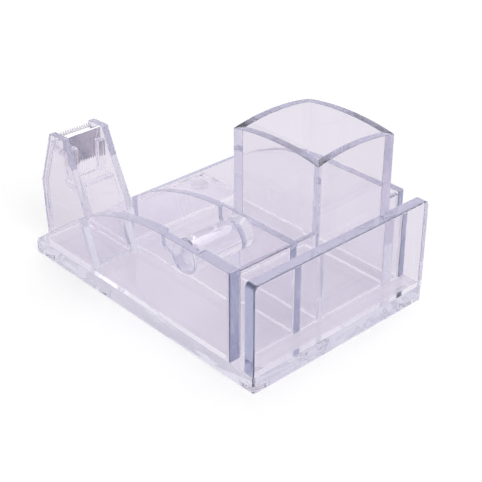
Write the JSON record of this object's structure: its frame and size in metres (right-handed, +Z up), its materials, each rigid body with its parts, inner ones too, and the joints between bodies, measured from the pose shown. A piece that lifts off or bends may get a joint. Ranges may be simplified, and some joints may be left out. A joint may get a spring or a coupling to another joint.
{
  "type": "tape dispenser desk organizer",
  "caption": "Clear desk organizer: tape bay with a turning hub and a toothed cutter on a tower, tall pen cup, open tray and memo slot on one base.",
  "frame": {"origin": "under the middle of the base, on the surface that the feet stand on", "axes": "+X from the dispenser's tower to the memo panel, +Y from the front side to the back side, +Z up"},
  "size_m": [0.166, 0.112, 0.0906],
  "materials": {
    "clear_plastic": "polished, clear with a faint lavender tint",
    "steel": "bright steel strip",
    "foot_rubber": "matt, half clear"
  },
  "bodies": {
    "organizer": {"back_side_wall": "clear_plastic", "base_plate": "clear_plastic", "bay_end_wall": "clear_plastic", "blade_back_guide": "clear_plastic", "blade_bed": "clear_plastic", "blade_front_guide": "clear_plastic", "channel_end_wall": "clear_plastic", "cup_back_wall": "clear_plastic", "cup_front_wall": "clear_plastic", "cup_left_wall": "clear_plastic", "cup_right_wall": "clear_plastic", "cutter_blade": "steel", "foot_memo_back": "foot_rubber", "foot_memo_front": "foot_rubber", "foot_tower_back": "foot_rubber", "foot_tower_front": "foot_rubber", "front_side_wall": "clear_plastic", "inner_side_wall": "clear_plastic", "memo_panel": "clear_plastic", "tower_back_cheek": "clear_plastic", "tower_front_cheek": "clear_plastic", "tower_nose_panel": "clear_plastic", "tower_rear_panel": "clear_plastic", "tower_shelf": "clear_plastic", "tray_end_wall": "clear_plastic", "tray_left_wall": "clear_plastic"},
    "hub": {"tape_hub": "clear_plastic"}
  },
  "joints": [
    {"name": "hub_spin", "type": "hinge", "parent": "organizer", "child": "hub", "pos_m": [0.0353, -0.03505, 0.0486], "axis": [0, 1, 0], "continuous": true}
  ]
}
